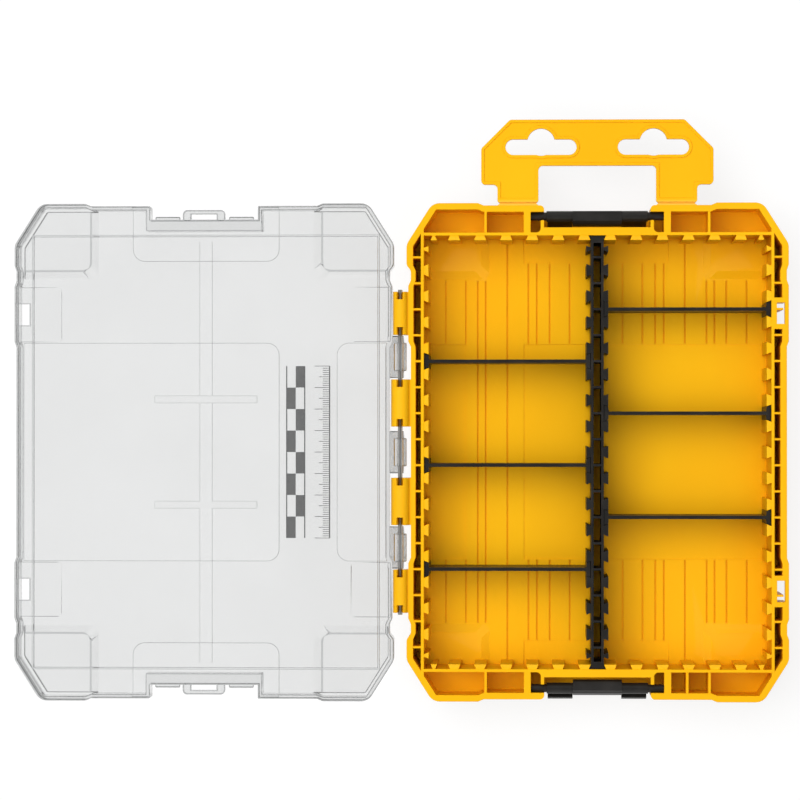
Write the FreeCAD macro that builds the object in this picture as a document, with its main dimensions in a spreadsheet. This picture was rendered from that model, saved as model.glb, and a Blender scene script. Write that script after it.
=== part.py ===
"""Compartment tool case: a moulded tray with a break-off hanging tab, a clear hinged lid, two latches,
a toothed centre rail and six divider walls.

Millimetres. The origin is the centre of the tray's underside, +X points away from the hinge, +Y towards the
hanging tab and +Z up. The lid lies open by half a turn and both latches hang open.
"""

import FreeCAD
import Part
import Sketcher
import math
import os

# Every driving size, in millimetres or degrees, with what it measures.
SIZES = (
    ("tray_width", 176.0, "tray across the hinge, over the corner blocks"),
    ("tray_length", 230.0, "tray along the hinge, over the corner blocks"),
    ("tray_height", 40.0, "tray from its underside to its rim"),
    ("chamfer_across", 12.0, "corner chamfer, measured across the hinge"),
    ("chamfer_along", 19.0, "corner chamfer, measured along the hinge"),
    ("corner_round", 6.0, "rounding at both ends of a corner chamfer"),
    ("floor_thick", 2.5, "tray floor"),
    ("bay_width", 160.0, "inside of the tray across the hinge, between plain walls"),
    ("bay_length", 200.0, "inside of the tray along the hinge, between plain walls"),
    ("inner_wall", 1.4, "inner wall of the tray's double side"),
    ("outer_wall", 3.0, "outer wall of the tray's double side"),
    ("far_step", 0.9, "far side: set-back of its middle from the corner blocks"),
    ("hinge_step", 2.0, "hinge side: set-back of its middle from the corner blocks"),
    ("hinge_pad_step", 0.8, "hinge side: set-back of its pads from the corner blocks"),
    ("end_step", 1.1, "end walls: set-back of their middle from the corner blocks"),
    ("ramp", 2.6, "run of each step of the outline along the wall"),
    ("step_round", 2.5, "rounding of the hinge side's steps beside the corner blocks"),
    ("pad_middle", 64.0, "side pads and tie slots, from the middle of the side"),
    ("pad_half", 12.75, "half the length of a side pad"),
    ("block_start", 86.4, "corner block on a long side, from the middle of the side"),
    ("end_block", 55.0, "corner block on an end wall, from the middle of the end"),
    ("hinge_cell_step", 1.2, "hinge side: set-back of the cells' outer side"),
    ("hinge_cell_pad", 0.2, "hinge side: set-back of the cells' outer side behind the pads"),
    ("cell_floor", 4.0, "bottom of the long sides' cells above the underside"),
    ("end_cell_floor", 16.0, "bottom of the end walls' cells above the underside"),
    ("rib_thick", 1.0, "ribs across the side cells"),
    ("rib_drop", 0.8, "top of the ribs below the rim"),
    ("end_rib_thick", 1.2, "ribs across the end cells"),
    ("end_rib_place", 51.5, "rib in each end cell, from the middle of the end"),
    ("extra_rib_place", 41.3, "extra rib in one front cell, from the middle of the end"),
    ("tooth_pitch", 12.0, "spacing of the dovetail teeth"),
    ("tooth_depth", 2.2, "teeth out from the tray wall"),
    ("tooth_root", 4.0, "tooth width at its wall"),
    ("tooth_tip", 5.8, "tooth width at its tip"),
    ("tooth_drop", 0.8, "top of the teeth below the rim"),
    ("corner_tooth_tip", 3.0, "narrow tooth in each bay corner, width at its tip"),
    ("corner_tooth_place", 4.6, "narrow end tooth's middle from the bay corner"),
    ("side_tooth_place", 6.2, "narrow side tooth's middle from the bay corner"),
    ("tie_inset", 3.6, "middle of a tie slot from the far face"),
    ("tie_wide", 3.7, "tie slot across"),
    ("tie_long", 9.8, "tie slot along"),
    ("tie_block_half", 7.25, "half the length of the solid block round a tie slot"),
    ("tie_plate", 5.0, "plate under the rim that a tie slot passes through"),
    ("tie_margin", 0.8, "hollow under that plate, longer than the slot at each end"),
    ("latch_half", 30.7, "half the width of a latch pocket"),
    ("opening_half", 24.5, "half the width of a latch pocket's open front"),
    ("tower_thick", 3.2, "wall beside each latch pocket"),
    ("latch_floor", 14.0, "bottom of a latch pocket above the underside"),
    ("sill_back", 2.3, "wall under a latch, set back from the end wall"),
    ("lip_back", 2.3, "stiffening lip behind a latch, in front of the inner wall"),
    ("lip_arm", 1.6, "arm of that lip"),
    ("lip_reach", 5.6, "arm's reach out from the inner wall"),
    ("lip_round", 2.0, "outer corner of that lip"),
    ("pivot_inset", 6.0, "latch pivot in from the end corner blocks"),
    ("pivot_drop", 5.0, "latch pivot below the rim"),
    ("rod_radius", 1.9, "latch pivot rod"),
    ("rod_fit", 0.1, "radial clearance of a pivot rod in its bore"),
    ("bore_depth", 1.5, "blind bore for a pivot rod"),
    ("hub_radius", 2.5, "latch hub"),
    ("hub_half", 23.4, "half the length of the latch hub"),
    ("lug_start", 11.3, "latch lug's inner side from the latch middle"),
    ("lug_wide", 11.6, "latch lug's width"),
    ("plate_thick", 2.0, "latch plate"),
    ("hook_thick", 2.7, "hook at the end of a lug"),
    ("hook_gap", 0.3, "clearance between latch and lid"),
    ("thumb_half", 11.3, "half the width of the latch's thumb section"),
    ("thumb_out", 4.0, "thumb section out from the pivot"),
    ("thumb_back", 2.0, "thumb section back from the pivot"),
    ("thumb_low", 3.0, "thumb section's underside below the pivot"),
    ("thumb_nose", 1.0, "thumb section's lower front edge below the pivot"),
    ("latch_rear_open", 188.0, "angle of the rear latch from closed, at rest"),
    ("latch_front_open", 160.0, "angle of the front latch from closed, at rest"),
    ("hinge_out", 2.9, "hinge axis beyond the corner blocks"),
    ("pin_radius", 1.05, "hinge pin"),
    ("pin_long", 150.0, "hinge pin's length"),
    ("pin_fit", 0.06, "radial clearance of the pin"),
    ("end_knuckle_radius", 3.3, "tray's outer knuckles"),
    ("end_knuckle_long", 19.9, "length of the tray's outer knuckles"),
    ("end_knuckle_place", 64.1, "middle of the tray's outer knuckles"),
    ("mid_knuckle_radius", 4.2, "tray's inner knuckles"),
    ("mid_knuckle_long", 21.8, "length of the tray's inner knuckles"),
    ("mid_knuckle_place", 22.7, "middle of the tray's inner knuckles"),
    ("knuckle_web", 9.0, "depth of the web under a knuckle"),
    ("window_wide", 3.0, "pin window across the knuckle"),
    ("window_long", 3.5, "pin window along the knuckle"),
    ("barrel_radius", 3.0, "lid's hinge barrels"),
    ("barrel_long", 13.0, "length of the lid's hinge barrels"),
    ("barrel_pitch", 44.0, "spacing of the lid's hinge barrels"),
    ("arm_long", 19.5, "length of a barrel's arm along the hinge"),
    ("barrel_arm", 5.0, "height of a barrel's arm on the lid wall"),
    ("rim_gap", 0.4, "lid rim above the tray rim when closed"),
    ("lid_height", 12.8, "lid from its rim to its outer face"),
    ("lid_wall", 2.0, "lid's side wall"),
    ("lid_roof", 2.0, "lid's panel"),
    ("lid_notch_gap", 0.5, "lid's latch notch wider than the tray's opening, each side"),
    ("catch_inset", 1.4, "lid's recessed catch wall behind the latch pivot"),
    ("catch_shelf", 5.3, "thickness of the catch wall"),
    ("ledge_rise", 3.6, "catch ledge above the lid rim"),
    ("ledge_thick", 2.0, "catch ledge"),
    ("ledge_depth", 1.5, "catch ledge out from the catch wall"),
    ("staple_half", 9.8, "half the width of the lid's staple"),
    ("staple_out", 4.4, "staple out from the catch wall"),
    ("staple_slot_half", 5.85, "half the width of the staple's slot"),
    ("staple_slot_out", 2.4, "staple's slot out from the catch wall"),
    ("staple_thick", 4.0, "staple's height"),
    ("seal_thick", 1.0, "rib under the lid above the tray's inner wall"),
    ("seal_height", 2.5, "height of that rib"),
    ("spine_half", 2.8, "lid's twin ribs from the middle"),
    ("spine_thick", 0.7, "thickness of the lid's twin ribs"),
    ("spine_height", 0.8, "height of the lid's twin ribs"),
    ("bar_half", 24.0, "half the length of the lid's cross bars"),
    ("bar_wide", 3.6, "width of the lid's cross bars"),
    ("bar_place", 24.5, "lid's cross bars from the middle"),
    ("relief", 0.6, "depth of the label panels and latch areas"),
    ("foot_height", 2.2, "stacking foot on each lid corner"),
    ("foot_margin", 3.0, "stacking foot in from the outline"),
    ("foot_across", 54.0, "stacking foot's top edge from the middle, across the hinge"),
    ("foot_along", 84.4, "stacking foot's top edge from the middle, along the hinge"),
    ("foot_slope", 3.8, "run of a stacking foot's slope"),
    ("foot_round", 9.0, "rounding of the sloping corner of a foot or floor pad"),
    ("foot_fit", 0.4, "clearance of a foot in the recess under the next case"),
    ("floor_pad", 1.3, "raised corner of the bay's floor over a recess"),
    ("floor_pad_across", 54.0, "top edge of that corner from the middle, across the hinge"),
    ("floor_pad_along", 85.0, "top edge of that corner from the middle, along the hinge"),
    ("side_pad_height", 0.8, "raised pad round a tie slot"),
    ("side_pad_in", 67.5, "inner edge of that pad from the middle"),
    ("side_pad_round", 1.8, "inner corners of that pad"),
    ("panel_half", 50.6, "half the length of the label panels"),
    ("panel_edge", 34.0, "edge of the large label panel and the latch areas from the middle"),
    ("small_panel_edge", 61.2, "edge of the small label panel from the middle"),
    ("latch_area", 88.9, "inner edge of the latch areas from the middle"),
    ("panel_round", 5.5, "corners of the label panels"),
    ("groove_wide", 0.8, "grooves in the tray floor"),
    ("groove_deep", 0.5, "depth of those grooves"),
    ("groove_one", 12.4, "first floor groove from the middle"),
    ("groove_two", 21.8, "second floor groove"),
    ("groove_three", 27.8, "third floor groove"),
    ("groove_four", 31.8, "fourth floor groove"),
    ("groove_five", 41.7, "fifth floor groove"),
    ("groove_six", 51.9, "sixth floor groove"),
    ("groove_seven", 55.6, "seventh floor groove"),
    ("groove_eight", 70.7, "eighth floor groove"),
    ("rail_width", 5.9, "centre rail without its teeth"),
    ("rail_tooth", 2.1, "rail teeth out from the rail"),
    ("rail_drop", 1.0, "top of the rail below the rim"),
    ("rail_wall", 1.2, "wall of the hollow rail"),
    ("divider_thick", 1.6, "divider wall"),
    ("divider_drop", 1.5, "top of the dividers below the rim"),
    ("slide_fit", 0.15, "clearance of the dovetails"),
    ("seat_gap", 0.1, "clearance under the rail and dividers"),
    ("tab_half", 53.5, "half the width of the hanging tab"),
    ("tab_reach", 39.6, "tab's far edge from the tray's end wall"),
    ("tab_chamfer", 13.3, "tab's outer corners"),
    ("tab_shoulder", 9.6, "tab's shoulders from the end wall"),
    ("leg_inner", 27.1, "tab leg's inner side from the middle"),
    ("leg_outer", 46.0, "tab leg's outer side from the middle"),
    ("tab_bar", 18.3, "inner edge of the tab's bar from the end wall"),
    ("tab_thick", 2.4, "tab's plate"),
    ("tab_drop", 0.6, "top of the tab's bead below the rim"),
    ("bead_wide", 1.4, "raised bead round the tab"),
    ("bead_height", 0.7, "height of that bead"),
    ("tab_round", 2.0, "corners of the tab"),
    ("score_notch", 1.0, "notches and score at the break line"),
    ("euro_place", 25.9, "middle of a euro slot from the tab's middle"),
    ("euro_in", 26.9, "middle of a euro slot from the end wall"),
    ("euro_radius", 3.6, "half the height of a euro slot"),
    ("euro_half", 16.4, "half the width of a euro slot"),
    ("euro_bump", 6.3, "round top of a euro slot"),
    ("euro_bump_rise", 2.3, "centre of the round top above the slot's middle"),
)

# Dividers by name: side of the rail (1 is right) and place in tooth pitches from the middle.
DIVIDERS = (
    ("divider_left_rear", -1, 3.5),
    ("divider_left_middle", -1, -0.5),
    ("divider_left_front", -1, -4.5),
    ("divider_right_rear", 1, 5.5),
    ("divider_right_middle", 1, 1.5),
    ("divider_right_front", 1, -2.5),
)
LATCHES = (("latch_rear", 1), ("latch_front", -1))
# Where a web or arm meets the round of its knuckle, in knuckle radii across and along the web.
WEB_ACROSS = 0.8
WEB_ALONG = 0.6
NEAR = 1e-4
SHEET = "Sizes"
# Bodies whose flush faces are merged after each feature, because later roundings run along them.
MERGED = ("hang_tab",)


class Size:
    """A number together with the sheet expression that yields it, so that arithmetic stays parametric."""

    def __init__(self, value, text):
        self.value = float(value)
        self.text = text

    def __add__(self, other):
        return Size(self.value + number(other), f"({self.text} + {text(other)})")

    def __sub__(self, other):
        return Size(self.value - number(other), f"({self.text} - {text(other)})")

    def __rsub__(self, other):
        return Size(number(other) - self.value, f"({text(other)} - {self.text})")

    def __mul__(self, other):
        return Size(self.value * number(other), f"({self.text} * {text(other)})")

    def __truediv__(self, other):
        return Size(self.value / number(other), f"({self.text} / {text(other)})")

    def __neg__(self):
        return Size(-self.value, f"(-1 * {self.text})")

    __radd__ = __add__
    __rmul__ = __mul__


def number(size):
    return size.value if isinstance(size, Size) else float(size)


def text(size):
    return size.text if isinstance(size, Size) else repr(float(size))


def root(size):
    return Size(math.sqrt(size.value), f"sqrt({size.text})")


def whole(size):
    return Size(math.floor(size.value), f"floor({size.text})")


class SizeSheet:
    """The spreadsheet of driving sizes; each size is read as an attribute."""

    def __init__(self, document):
        self.sheet = document.addObject("Spreadsheet::Sheet", SHEET)
        self.values = {}
        for row, (alias, value, note) in enumerate(SIZES, 1):
            self.sheet.set(f"A{row}", alias)
            self.sheet.set(f"B{row}", str(value))
            self.sheet.set(f"C{row}", note)
            self.sheet.setAlias(f"B{row}", alias)
            self.values[alias] = value

    def __getattr__(self, alias):
        return Size(self.values[alias], f"{SHEET}.{alias}")


doc = FreeCAD.newDocument("ToolCase")
S = SizeSheet(doc)
doc.recompute()
volumes = {}


# Sketch and feature helpers


def new_body(name):
    body = doc.addObject("PartDesign::Body", name)
    body.Label = name
    return body


def origin(body, role):
    return next(item for item in body.Origin.OriginFeatures if item.Role == role)


def hold(sketch, rules):
    """Adds constraints given as (constraint, size); a size from the sheet stays bound to it."""
    first = sketch.ConstraintCount
    sketch.addConstraint([rule for rule, size in rules])
    for index, (rule, size) in enumerate(rules, first):
        if isinstance(size, Size):
            sketch.setExpression(f"Constraints[{index}]", size.text)


def pinned(element, point, x, y):
    """Constraints that hold one point of a sketch at sizes x and y from the sketch's origin."""
    return [
        (Sketcher.Constraint(kind, -1, 1, element, point, number(size)), size)
        for kind, size in (("DistanceX", x), ("DistanceY", y))
    ]


def add_loop(sketch, corners):
    points = [FreeCAD.Vector(number(x), number(y), 0) for x, y in corners]
    first = sketch.GeometryCount
    count = len(points)
    sketch.addGeometry([Part.LineSegment(points[i], points[(i + 1) % count]) for i in range(count)], False)
    rules = []
    for i, (x, y) in enumerate(corners):
        after = first + (i + 1) % count
        rules.append((Sketcher.Constraint("Coincident", first + i, 2, after, 1), None))
        rules += pinned(first + i, 1, x, y)
    hold(sketch, rules)


def add_circle(sketch, x, y, radius):
    centre = FreeCAD.Vector(number(x), number(y), 0)
    element = sketch.addGeometry(Part.Circle(centre, FreeCAD.Vector(0, 0, 1), number(radius)), False)
    rules = pinned(element, 3, x, y)
    hold(sketch, rules + [(Sketcher.Constraint("Radius", element, number(radius)), radius)])


def add_slot(sketch, x, y, run, radius):
    """A round-ended slot along X: two arcs whose centres lie run to each side of (x, y)."""
    up = FreeCAD.Vector(0, 0, 1)
    left = FreeCAD.Vector(number(x) - number(run), number(y), 0)
    right = FreeCAD.Vector(number(x) + number(run), number(y), 0)
    rise = FreeCAD.Vector(0, number(radius), 0)
    quarter = math.pi / 2
    first = sketch.GeometryCount
    sketch.addGeometry(
        [
            Part.ArcOfCircle(Part.Circle(left, up, number(radius)), quarter, 3 * quarter),
            Part.ArcOfCircle(Part.Circle(right, up, number(radius)), -quarter, quarter),
            Part.LineSegment(left + rise, right + rise),
            Part.LineSegment(left - rise, right - rise),
        ],
        False,
    )
    touches = ((first, 1, first + 2, 1), (first, 2, first + 3, 1))
    touches += ((first + 1, 2, first + 2, 2), (first + 1, 1, first + 3, 2))
    rules = [(Sketcher.Constraint("Tangent", *touch), None) for touch in touches]
    rules += pinned(first, 3, x - run, y) + pinned(first + 1, 3, x + run, y)
    hold(sketch, rules + [(Sketcher.Constraint("Radius", first, number(radius)), radius)])


def draw(body, name, loops=(), circles=(), slots=(), plane="XY_Plane", height=0):
    sketch = body.newObject("Sketcher::SketchObject", name)
    sketch.AttachmentSupport = [(origin(body, plane), "")]
    sketch.MapMode = "FlatFace"
    sketch.setExpression("AttachmentOffset.Base.z", text(height))
    for corners in loops:
        add_loop(sketch, corners)
    for circle in circles:
        add_circle(sketch, *circle)
    for slot in slots:
        add_slot(sketch, *slot)
    return sketch


def settle(body, feature):
    """Recomputes and makes sure that the feature changed the body."""
    feature.Refine = body.Label in MERGED
    body.Tip = feature
    doc.recompute()
    now = feature.Shape.Volume
    if not feature.isValid() or abs(now - volumes.get(body.Label, 0.0)) < NEAR:
        raise RuntimeError(f"{body.Label}: {feature.Name} failed or changed nothing")
    volumes[body.Label] = now
    return feature


def pad(body, name, sketch, length, down=False, both=False):
    feature = body.newObject("PartDesign::Pad", name)
    feature.Profile = sketch
    feature.setExpression("Length", text(length))
    feature.Reversed = down
    if both:
        feature.SideType = "Symmetric"
    return settle(body, feature)


def pocket(body, name, sketch, length=None, up=False):
    """Cuts down from the sketch, or up, by length; with no length it cuts right through both ways."""
    feature = body.newObject("PartDesign::Pocket", name)
    feature.Profile = sketch
    feature.Reversed = up
    if length is None:
        feature.SideType = "Symmetric"
        feature.Type = "ThroughAll"
    else:
        feature.setExpression("Length", text(length))
    return settle(body, feature)


def row(body, name, feature, axis, pitch, count):
    pattern = body.newObject("PartDesign::LinearPattern", name)
    pattern.Originals = [feature]
    pattern.Direction = (origin(body, axis), [""])
    pattern.Mode = "Spacing"
    pattern.setExpression("Offset", text(pitch))
    pattern.setExpression("Occurrences", text(count))
    return settle(body, pattern)


def mirror(body, name, features, plane):
    feature = body.newObject("PartDesign::Mirrored", name)
    feature.Originals = features
    feature.MirrorPlane = (origin(body, plane), [""])
    return settle(body, feature)


def loft(body, name, sketches, cut=False):
    kind = "PartDesign::SubtractiveLoft" if cut else "PartDesign::AdditiveLoft"
    feature = body.newObject(kind, name)
    feature.Profile = sketches[0]
    feature.Sections = sketches[1:]
    feature.Ruled = True
    return settle(body, feature)


def off_run(point, run):
    """Distance in plan of a point from the straight run between two places."""
    (x, y), (to_x, to_y) = [(number(across), number(along)) for across, along in run]
    run_x, run_y = to_x - x, to_y - y
    square = run_x * run_x + run_y * run_y
    share = 0.0
    if square > NEAR:
        share = min(1.0, max(0.0, ((point.x - x) * run_x + (point.y - y) * run_y) / square))
    return math.hypot(point.x - x - share * run_x, point.y - y - share * run_y)


def round_rising(body, name, runs, radius):
    """Fillets the edges of the body that climb straight over one of the given runs in plan."""
    base = body.Tip
    names = []
    for index, edge in enumerate(base.Shape.Edges, 1):
        low, high = edge.Vertexes[0].Point, edge.Vertexes[-1].Point
        over = any(max(off_run(low, run), off_run(high, run)) < NEAR for run in runs)
        if over and abs(low.z - high.z) > NEAR:
            names.append(f"Edge{index}")
    feature = body.newObject("PartDesign::Fillet", name)
    feature.Base = (base, names)
    feature.setExpression("Radius", text(radius))
    return settle(body, feature)


def round_upright(body, name, spots, radius):
    """Fillets the upright edges of the body that stand at the given places."""
    return round_rising(body, name, [(spot, spot) for spot in spots], radius)


def place(body, x, y, z, turn=None):
    body.Placement = FreeCAD.Placement(
        FreeCAD.Vector(number(x), number(y), number(z)), turn if turn else FreeCAD.Rotation()
    )
    for axis, size in (("x", x), ("y", y), ("z", z)):
        if isinstance(size, Size):
            body.setExpression(f"Placement.Base.{axis}", size.text)


# Plan shapes


def flip_x(corners):
    return [(-x, y) for x, y in corners]


def flip_y(corners):
    return [(x, -y) for x, y in corners]


def four(corners):
    """A loop and its mirror images in the other three quarters."""
    return [corners, flip_x(corners), flip_y(corners), flip_x(flip_y(corners))]


def box_loop(left, right, low, high):
    return [(left, low), (right, low), (right, high), (left, high)]


CHAMFER_RUN = root(S.chamfer_across * S.chamfer_across + S.chamfer_along * S.chamfer_along)
BAY_X = S.bay_width / 2
BAY_Y = S.bay_length / 2
WALL_X = BAY_X + S.inner_wall
WALL_Y = BAY_Y + S.inner_wall
HINGE_X = -(S.tray_width / 2 + S.hinge_out)
HINGE_Z = S.tray_height + S.rim_gap / 2
LID_RIM = S.tray_height + S.rim_gap
LID_TOP = LID_RIM + S.lid_height
LID_CEILING = LID_TOP - S.lid_roof
PIVOT_Y = S.tray_length / 2 - S.pivot_inset
PIVOT_Z = S.tray_height - S.pivot_drop
CATCH_Y = PIVOT_Y - S.catch_inset
LEDGE_Z = LID_RIM + S.ledge_rise
END_LOW = S.tray_length / 2 - S.end_step
TIE_X = S.tray_width / 2 - S.tie_inset
# Stacked cases rest on the side pads, so the feet reach less far into their recesses than they stand out.
RECESS_TOP = S.foot_height - S.side_pad_height + S.foot_fit


def chamfer_at_side(inset):
    """Where the corner chamfer, moved in by inset, ends on the side face moved in as far."""
    drop = inset * (CHAMFER_RUN - S.chamfer_along) / S.chamfer_across
    return S.tray_length / 2 - S.chamfer_along - drop


def chamfer_at_end(inset):
    """Where the corner chamfer, moved in by inset, ends on the end face moved in as far."""
    drop = inset * (CHAMFER_RUN - S.chamfer_across) / S.chamfer_along
    return S.tray_width / 2 - S.chamfer_across - drop


def chamfer_at(x, inset):
    """Height in plan of the corner chamfer, moved in by inset, at a distance x from the middle."""
    slide = (S.tray_width / 2 - x) * S.chamfer_along - inset * CHAMFER_RUN
    return S.tray_length / 2 - S.chamfer_along + slide / S.chamfer_across


def side_line(inset, low_step, pad_step):
    """Right-hand side of the outline from the front corner to the rear one, moved in by inset."""
    face = S.tray_width / 2 - inset
    low = face - low_step
    raised = face - pad_step
    rear = [
        (low, S.pad_middle - S.pad_half - S.ramp),
        (raised, S.pad_middle - S.pad_half),
        (raised, S.pad_middle + S.pad_half),
        (low, S.pad_middle + S.pad_half + S.ramp),
        (low, S.block_start - S.ramp),
        (face, S.block_start),
        (face, chamfer_at_side(inset)),
    ]
    return flip_y(rear)[::-1] + rear


def end_line(inset, middle=()):
    """Rear end of the outline from right to left, moved in by inset, with a jog for its right half."""
    end = S.tray_length / 2 - inset
    right = [
        (chamfer_at_end(inset), end),
        (S.end_block, end),
        (S.end_block - S.ramp, end - S.end_step),
        *middle,
    ]
    return right + flip_x(right)[::-1]


def outline(inset, middle=()):
    far = side_line(inset, S.far_step, 0)
    hinge = flip_x(side_line(inset, S.hinge_step, S.hinge_pad_step))
    rear = end_line(inset, middle)
    return far + rear + hinge[::-1] + flip_y(rear)[::-1]


def chamfer_spots():
    right_rear = [
        (S.tray_width / 2, chamfer_at_side(0)),
        (chamfer_at_end(0), S.tray_length / 2),
    ]
    return [spot for quarter in four(right_rear) for spot in quarter]


def round_steps(body, name):
    """Rounds both ends of the ramps that lead from the hinge side's middle to its corner blocks."""
    face = -S.tray_width / 2
    ends = (("Outer", (face, S.block_start)), ("Inner", (face + S.hinge_step, S.block_start - S.ramp)))
    for end, spot in ends:
        round_upright(body, f"{name}{end}", [spot, *flip_y([spot])], S.step_round)


def foot_loop(across, along, margin):
    """Corner of the plan where a stacking foot stands, from its two inner edges to near the outline."""
    side = S.tray_width / 2 - margin
    end = S.tray_length / 2 - margin
    return [
        (across, along),
        (side, along),
        (side, chamfer_at_side(margin)),
        (chamfer_at_end(margin), end),
        (across, end),
    ]


def feet(body, name, low, high, spare, cut=False):
    """Four corner frusta between two heights: rounded feet on the lid, or the recesses that take them."""
    foot = foot_loop(S.foot_across - spare, S.foot_along - spare, S.foot_margin - spare)
    wide = foot_loop(
        S.foot_across - S.foot_slope - spare, S.foot_along - S.foot_slope - spare, S.foot_margin - spare
    )
    for index, (bottom, top) in enumerate(zip(four(wide), four(foot)), 1):
        lower = draw(body, f"{name}Wide{index}", [bottom], height=low)
        upper = draw(body, f"{name}Narrow{index}", [top], height=high)
        loft(body, f"{name}{index}", [lower, upper], cut)
    if not cut:
        round_rising(body, f"{name}Corners", inner_corners(wide, foot), S.foot_round)


def inner_corners(wide, narrow):
    """Plan of the sloping edge between the first corners of two loops, in all four quarters."""
    return four([wide[0], narrow[0]])


def tooth(wall, tip_at, y, root_wide, tip_wide, bury):
    """Dovetail tooth on a wall that faces the middle from the right; its root is buried in the wall."""
    return [
        (wall + bury, y - root_wide / 2),
        (wall, y - root_wide / 2),
        (tip_at, y - tip_wide / 2),
        (tip_at, y + tip_wide / 2),
        (wall, y + root_wide / 2),
        (wall + bury, y + root_wide / 2),
    ]


def swap(corners):
    return [(y, x) for x, y in corners]


# The tray


def make_base_tray():
    """Plain cuts come first and the many ribs and teeth last, which keeps every step light."""
    body = new_body("base_tray")
    pad(body, "TrayBlock", draw(body, "TrayPlan", [outline(0)]), S.tray_height)
    round_upright(body, "TrayCorners", chamfer_spots(), S.corner_round)
    round_steps(body, "TraySteps")
    feet(body, "StackRecess", -S.foot_fit, RECESS_TOP, S.foot_fit, cut=True)
    bay = box_loop(-BAY_X, BAY_X, -BAY_Y, BAY_Y)
    pocket(body, "Bay", draw(body, "BayPlan", [bay], height=S.tray_height), S.tray_height - S.floor_thick)
    add_floor_pads(body)
    cut_side_hollows(body)
    add_knuckles(body)
    add_tie_slots(body)
    cut_floor_relief(body)
    add_tray_ribs(body)
    add_tray_teeth(body)
    return body


def add_floor_pads(body):
    """Raised corners of the bay's floor, above the recesses that take the feet of the case below."""
    side = BAY_X + S.inner_wall / 2
    end = BAY_Y + S.inner_wall / 2
    narrow = box_loop(S.floor_pad_across, side, S.floor_pad_along, end)
    wide = box_loop(S.floor_pad_across - S.foot_slope, side, S.floor_pad_along - S.foot_slope, end)
    for index, (bottom, top) in enumerate(zip(four(wide), four(narrow)), 1):
        lower = draw(body, f"FloorPadWide{index}", [bottom], height=S.floor_thick)
        upper = draw(body, f"FloorPadNarrow{index}", [top], height=S.floor_thick + S.floor_pad)
        loft(body, f"FloorPad{index}", [lower, upper])
    round_rising(body, "FloorPadCorners", inner_corners(wide, narrow), S.foot_round)


def cut_floor_relief(body):
    """The label panels, latch areas and grooves in the bay's floor."""
    large = box_loop(-S.panel_edge, BAY_X, -S.panel_half, S.panel_half)
    small = box_loop(-BAY_X, -S.small_panel_edge, -S.panel_half, S.panel_half)
    latch = box_loop(-S.panel_edge, S.panel_edge, S.latch_area, BAY_Y)
    plan = draw(body, "FloorPanelPlan", [large, small, latch, flip_y(latch)], height=S.floor_thick)
    pocket(body, "FloorPanels", plan, S.relief)

    half = S.groove_wide / 2
    low = S.panel_half + half
    pad_edge = S.floor_pad_along - S.foot_slope - S.groove_wide
    short = []
    for middle in (S.groove_one, S.groove_two, S.groove_three, S.groove_four):
        short += four(box_loop(middle - half, middle + half, low, S.latch_area - half))
    cut_grooves(body, "ShortGrooves", short)
    long = []
    for middle in (S.small_panel_edge, S.groove_eight):
        long += four(box_loop(middle - half, middle + half, low, pad_edge))
    for middle, high in ((S.groove_five, BAY_Y), (S.groove_six, pad_edge), (S.groove_seven, pad_edge)):
        far = box_loop(middle - half, middle + half, low, high)
        long += [far, flip_y(far), box_loop(-middle - half, half - middle, -high, high)]
    cut_grooves(body, "LongGrooves", long)


def cut_grooves(body, name, loops):
    pocket(body, name, draw(body, f"{name}Plan", loops, height=S.floor_thick), S.groove_deep)


def cut_side_hollows(body):
    """Cells of the double walls, and the two latch pockets with their lips and pivot bores."""
    far = side_line(S.outer_wall, S.far_step, 0)
    hinge = flip_x(side_line(S.outer_wall, S.hinge_cell_step, S.hinge_cell_pad))
    turn = chamfer_at(WALL_X, S.outer_wall)
    troughs = [far + [(WALL_X, turn), (WALL_X, -turn)], hinge + [(-WALL_X, turn), (-WALL_X, -turn)]]
    plan = draw(body, "SideCellPlan", troughs, height=S.tray_height)
    pocket(body, "SideCells", plan, S.tray_height - S.cell_floor)

    tower = S.latch_half + S.tower_thick
    end = S.tray_length / 2 - S.outer_wall
    cell = [
        (tower, WALL_Y),
        (BAY_X, WALL_Y),
        (BAY_X, chamfer_at(BAY_X, S.outer_wall)),
        (chamfer_at_end(S.outer_wall), end),
        (S.end_block, end),
        (S.end_block - S.ramp, end - S.end_step),
        (tower, end - S.end_step),
    ]
    plan = draw(body, "EndCellPlan", four(cell), height=S.tray_height)
    pocket(body, "EndCells", plan, S.tray_height - S.end_cell_floor)

    arm = S.opening_half + S.lip_arm
    back = WALL_Y + S.lip_back
    reach = WALL_Y + S.lip_reach
    ear = end - S.end_step
    past = S.tray_length / 2
    half = [
        (S.opening_half, back),
        (S.opening_half, reach),
        (arm, reach),
        (arm, WALL_Y),
        (S.latch_half, WALL_Y),
        (S.latch_half, ear),
        (S.opening_half, ear),
        (S.opening_half, past),
    ]
    recess = half + flip_x(half)[::-1]
    plan = draw(body, "LatchPocketPlan", [recess, flip_y(recess)], height=S.tray_height)
    pocket(body, "LatchPockets", plan, S.tray_height - S.latch_floor)
    sill = box_loop(-S.opening_half, S.opening_half, END_LOW - S.sill_back, past)
    pocket(body, "LatchSills", draw(body, "LatchSillPlan", [sill, flip_y(sill)]))
    lip = [spot for quarter in four([(arm, WALL_Y)]) for spot in quarter]
    round_upright(body, "LipCorners", lip, S.lip_round)
    ends = [spot for quarter in four([(S.opening_half, END_LOW)]) for spot in quarter]
    round_upright(body, "EarEnds", ends, S.lip_round)

    bore = S.rod_radius + S.rod_fit
    bores = [(PIVOT_Y, PIVOT_Z, bore), (-PIVOT_Y, PIVOT_Z, bore)]
    half = S.latch_half + S.bore_depth
    plan = draw(body, "RodBorePlan", circles=bores, plane="YZ_Plane", height=half)
    pocket(body, "RodBores", plan, half * 2)


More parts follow.
